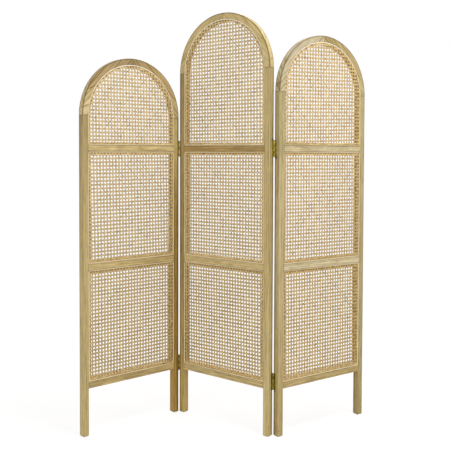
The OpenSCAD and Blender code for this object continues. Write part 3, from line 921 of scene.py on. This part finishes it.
def build_sweep():
    """Geometry nodes that sweep an oval section along every route of a wire mesh."""
    tree = bpy.data.node_groups.new("sweep_along_routes", "GeometryNodeTree")
    face = tree.interface
    face.new_socket("Routes", in_out="INPUT", socket_type="NodeSocketGeometry")
    for label, kind, value in (
        ("Width", "NodeSocketFloat", 0.003), ("Thickness", "NodeSocketFloat", 0.001),
        ("Sides", "NodeSocketInt", 4), ("Finish", "NodeSocketMaterial", None),
    ):
        socket = face.new_socket(label, in_out="INPUT", socket_type=kind)
        if value is not None:
            socket.default_value = value
    face.new_socket("Swept", in_out="OUTPUT", socket_type="NodeSocketGeometry")
    ins = put(tree, "NodeGroupInput").outputs
    curve = put(tree, "GeometryNodeMeshToCurve", {"Mesh": ins["Routes"]}).outputs[0]
    curve = put(tree, "GeometryNodeSetCurveNormal", {"Curve": curve}, mode="Z_UP").outputs[0]

    def store(geometry, name, value):
        feeds = {"Geometry": geometry, "Name": name, "Value": value}
        return put(tree, "GeometryNodeStoreNamedAttribute", feeds, data_type="FLOAT",
                   domain="POINT").outputs[0]

    curve = store(curve, "along", put(tree, "GeometryNodeSplineParameter").outputs["Length"])
    ring = put(tree, "GeometryNodeCurvePrimitiveCircle",
               {"Resolution": ins["Sides"], "Radius": 1.0}).outputs[0]
    place = put(tree, "GeometryNodeInputPosition").outputs[0]
    ring = store(ring, "side", split(tree, place)["X"])
    size = join(tree, calc(tree, "MULTIPLY", ins["Width"], 0.5),
                calc(tree, "MULTIPLY", ins["Thickness"], 0.5), 1.0)
    ring = put(tree, "GeometryNodeTransform", {"Geometry": ring, "Scale": size}).outputs[0]
    swept = put(tree, "GeometryNodeCurveToMesh",
                {"Curve": curve, "Profile Curve": ring, "Fill Caps": True}).outputs[0]
    swept = put(tree, "GeometryNodeRealizeInstances", {"Geometry": swept}).outputs[0]
    swept = put(tree, "GeometryNodeSetMaterial",
                {"Geometry": swept, "Material": ins["Finish"]}).outputs[0]
    put(tree, "NodeGroupOutput", {"Swept": swept})
    return tree


SWEEP = build_sweep()


def sweep(name, routes, stand, width, thickness, sides, finish, closed=False):
    """Sweeps routes of (across, up, height, tone, level) into one plain mesh object.

    The tone and the level of a place only serve the material.
    """
    points, edges, tones, levels = [], [], [], []
    for route in routes:
        first = len(points)
        points += [p[:3] for p in route]
        tones += [p[3] for p in route]
        levels += [p[4] for p in route]
        edges += [(n, n + 1) for n in range(first, len(points) - 1)]
        if closed:
            edges.append((len(points) - 1, first))
    wire = bpy.data.meshes.new(name + "_routes")
    wire.from_pydata(points, edges, [])
    for label, values in (("tone", tones), ("level", levels)):
        wire.attributes.new(label, "FLOAT", "POINT").data.foreach_set("value", values)
    carrier = add_object(name + "_routes", wire)
    modifier = carrier.modifiers.new("sweep", "NODES")
    modifier.node_group = SWEEP
    keys = {item.name: item.identifier for item in SWEEP.interface.items_tree
            if item.in_out == "INPUT"}
    for label, value in (("Width", width), ("Thickness", thickness), ("Sides", sides),
                         ("Finish", finish)):
        modifier[keys[label]] = value
    seen = carrier.evaluated_get(bpy.context.evaluated_depsgraph_get())
    mesh = bpy.data.meshes.new_from_object(seen)
    bpy.data.objects.remove(carrier)
    mesh.transform(stand @ SHEET_UP)
    shaped = bmesh.new()
    shaped.from_mesh(mesh)
    bmesh.ops.recalc_face_normals(shaped, faces=shaped.faces)
    for face in shaped.faces:
        face.smooth = True
    shaped.to_mesh(mesh)
    shaped.free()
    mesh.name = name
    return add_object(name, mesh)


# How old the strands of each family look, how much it differs from strand to strand, the oldest
# look, and the share of the diagonals that have it
FAMILY_TONE = {"upright": 0.4, "level": 0.25, "rising": 0.55, "falling": 0.55}
TONE_SPREAD, OLDEST_TONE, OLDEST_SHARE = 0.25, 1.7, 0.12


def weave_field(k, panel, i, finish):
    """The woven cane of one field, in place of its plain sheet."""
    seed = 3 * k + i
    draw = random.Random(SEEDS["weave"] + seed)
    within, in_open = inside(panel, i, TUCK_INSET), inside(panel, i, BATTEN_W)
    routes = []
    for route, family in weave_routes(panel, i):
        # Uprights may take a darker tone, painted shade of their sides
        usual = FAMILY_TONE[family] + (UPRIGHT_SHADE[k] if family == "upright" else 0.0)
        tone = min(max(draw.gauss(usual, TONE_SPREAD), 0.0), OLDEST_TONE)
        if family in ("rising", "falling") and draw.random() < OLDEST_SHARE:
            tone = OLDEST_TONE
        cut = clip(route, within)
        if len(cut) < FEWEST_POINTS:
            continue
        cut = tucked(cut)
        # The level is 0 in the groove, 1 at the top, and 1 more where the cane lies on a batten
        routes.append([(*wandered(u, v, seed), h, tone, max(h, 0) / HIGH + (not in_open(u, v)))
                       for u, v, h in cut])
    piece = sweep(f"{panel}_{FIELDS[i]}_weave", routes, STAND[panel], STRAND_W[i], STRAND_T,
                  STRAND_SIDES, finish)
    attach(piece, panel)
    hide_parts(f"{panel}_{FIELDS[i]}_webbing")


def reed_route(panel, i):
    """The middle line of one reed, with how level each stretch of it is and how lit it is
    painted.

    It is a rectangle with round corners, or an arch on one.
    """
    left_side, right_side, sills = REED_LIT[panel]

    # How lit each stretch is painted, from its painted shade at 0 to its lit colour at 1
    def pale(u, v):
        if v < low + REED_CORNER:
            return sills[i]
        side = left_side if u < 0 else right_side
        if i < 2:
            return side
        rise = max(v - spring_z(panel), 0.0) / (FIELD_W / 2)
        return side + rise * (1.0 - side)

    def lying(u, v):
        if i == 2 and v > spring_z(panel):
            return (v - spring_z(panel)) / (FIELD_W / 2)
        return 1.0 if abs(u) < FIELD_W / 2 - REED_CORNER - REED_INSET else 0.0

    low, high = field_zs(panel, i)
    reach = FIELD_W / 2 - REED_INSET
    low += REED_INSET
    r = REED_CORNER
    turn = [math.radians(a) for a in CORNER_TURN]
    route = [(-reach + r - r * math.sin(a), low + r - r * math.cos(a)) for a in reversed(turn)]
    route += [(reach - r + r * math.sin(a), low + r - r * math.cos(a)) for a in turn]
    if i < 2:
        high -= REED_INSET
        route += [(reach - r + r * math.cos(a), high - r + r * math.sin(a)) for a in turn]
        route += [(-reach + r - r * math.cos(a), high - r + r * math.sin(a))
                  for a in reversed(turn)]
    else:
        route += [(reach * math.cos(a), high + reach * math.sin(a))
                  for a in map(math.radians, ARCH_TURN)]
    return [(u, v, REED_CROWN - REED_T / 2, lying(u, v), pale(u, v)) for u, v in route]


def reed_panel(panel, finish):
    """The reeds of one panel's three fields, in place of its plain splines."""
    routes = [reed_route(panel, i) for i in range(3)]
    piece = sweep(f"{panel}_reeds", routes, STAND[panel], REED_W, REED_T, REED_SIDES, finish,
                  closed=True)
    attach(piece, panel)
    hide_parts(f"{panel}_splines")


# Stage, light and camera

# Half the floor's side, its two papery greys, and between which distances from the object its
# shadow gives way to white
FLOOR_REACH, FLOOR_GREYS, FLOOR_FADE = 30.0, (236, 240), (0.8, 2.6)
# How far the white covers the floor, and its strength, at those two distances
WHITE_SHARE, WHITE_STRENGTH = (0.7, 1.0), (1.15, 1.02)


def stage_floor():
    """A white floor that keeps the shadow and joins the white background."""
    corners = [(x * FLOOR_REACH, y * FLOOR_REACH, 0)
               for x, y in ((-1, -1), (1, -1), (1, 1), (-1, 1))]
    mesh = bpy.data.meshes.new("floor")
    mesh.from_pydata(corners, [], [(0, 1, 2, 3)])
    floor = add_object("floor", mesh)
    material, tree, shader = new_material("floor")
    place = object_place(tree)
    paper = mix_colour(tree, cloud(tree, place, 3.0), *(srgb(g, g, g) for g in FLOOR_GREYS))
    feed(tree, shader, Base_Color=paper, Roughness=0.9, Specular_IOR_Level=0.0)
    away = length_of(tree, place)
    share = calc(tree, "MULTIPLY", seen_rays(tree), ramp(tree, away, *FLOOR_FADE, *WHITE_SHARE))
    strength = ramp(tree, away, *FLOOR_FADE, *WHITE_STRENGTH)
    glow = put(tree, "ShaderNodeEmission", {"Color": (1, 1, 1, 1), "Strength": strength})
    mixed = put(tree, "ShaderNodeMixShader", {0: share, 1: shader.outputs[0],
                                              2: glow.outputs[0]})
    tree.links.new(mixed.outputs[0], tree.nodes["Material Output"].inputs["Surface"])
    mesh.materials.append(material)


# The room's light as it falls on the object, and what the lamps aim at
ROOM_TINT, ROOM_STRENGTH = (1.0, 0.99, 0.97, 1), 0.5
LAMP_AIM = Vector((0, 0, 1.0))
# The lamps: place, size, watts and tint
LAMPS = {
    "overhead": ((0.9, -0.6, 3.6), 1.8, 56.0, (1.0, 0.985, 0.95)),
    "front_left": ((-2.6, -3.6, 1.6), 2.2, 52.0, (1.0, 0.99, 0.97)),
    "front_right": ((2.6, -3.6, 1.4), 2.2, 46.0, (1.0, 0.99, 0.97)),
    "back": ((0.4, 4.0, 2.2), 2.4, 34.0, (1.0, 0.99, 0.97)),
}


def light_studio():
    """A white room: even light all round, and large soft lamps above, in front and behind."""
    world = bpy.data.worlds.new("studio")
    bpy.context.scene.world = world
    world.use_nodes = True
    tree = world.node_tree
    tree.nodes.clear()
    room = put(tree, "ShaderNodeBackground", {"Color": ROOM_TINT, "Strength": ROOM_STRENGTH})
    white = put(tree, "ShaderNodeBackground", {"Color": (1, 1, 1, 1), "Strength": 1.0})
    mixed = put(tree, "ShaderNodeMixShader", {0: seen_rays(tree), 1: room.outputs[0],
                                              2: white.outputs[0]})
    put(tree, "ShaderNodeOutputWorld", {"Surface": mixed.outputs[0]})
    for name, (place, size, watts, tint) in LAMPS.items():
        data = bpy.data.lights.new(name, "AREA")
        data.shape, data.size, data.energy, data.color = "DISK", size, watts, tint
        lamp = add_object(name, data)
        lamp.location = place
        lamp.rotation_euler = (LAMP_AIM - Vector(place)).to_track_quat("-Z", "Y").to_euler()


# The camera's place, its tilt and roll, and in pixels of a square frame its focal length, the
# point where its axis meets the frame and the frame's side
CAMERA_PLACE, TILT, ROLL = (-0.0324, -3.3059, 1.1995), math.radians(1.993), math.radians(-0.167)
FOCAL_PX, CENTRE_PX, FRAME_PX = 757.3, (220.0, 177.9), 450
SENSOR_MM = 36.0


def place_camera():
    """The photograph's camera: nearly level, at 1.2 m, turned down by two degrees."""
    data = bpy.data.cameras.new("camera")
    data.sensor_width, data.lens = SENSOR_MM, FOCAL_PX / FRAME_PX * SENSOR_MM
    data.shift_x = (FRAME_PX / 2 - CENTRE_PX[0]) / FRAME_PX
    data.shift_y = (CENTRE_PX[1] - FRAME_PX / 2) / FRAME_PX
    ahead = Vector((0, math.cos(TILT), -math.sin(TILT)))
    up = Vector((0, math.sin(TILT), math.cos(TILT)))
    right = Vector((1, 0, 0))
    x_axis = math.cos(ROLL) * right - math.sin(ROLL) * up
    y_axis = math.sin(ROLL) * right + math.cos(ROLL) * up
    camera = add_object("camera", data)
    turn = Matrix((x_axis, y_axis, -ahead)).transposed().to_4x4()
    camera.matrix_world = Matrix.Translation(CAMERA_PLACE) @ turn
    bpy.context.scene.camera = camera


# Making

# Without a seed of its own, the noise that moves the strands would start from the clock
noise.seed_set(1)
place_camera()
stage_floor()
light_studio()
dress_hardware()
REED = reed()
for k, panel in enumerate(PANELS):
    dress_panel(k, panel)
    reed_panel(panel, REED)
    woven = cane(panel, CANE_LIGHT[k])
    for i in range(3):
        weave_field(k, panel, i, woven)

bpy.context.scene.view_settings.view_transform = "Standard"
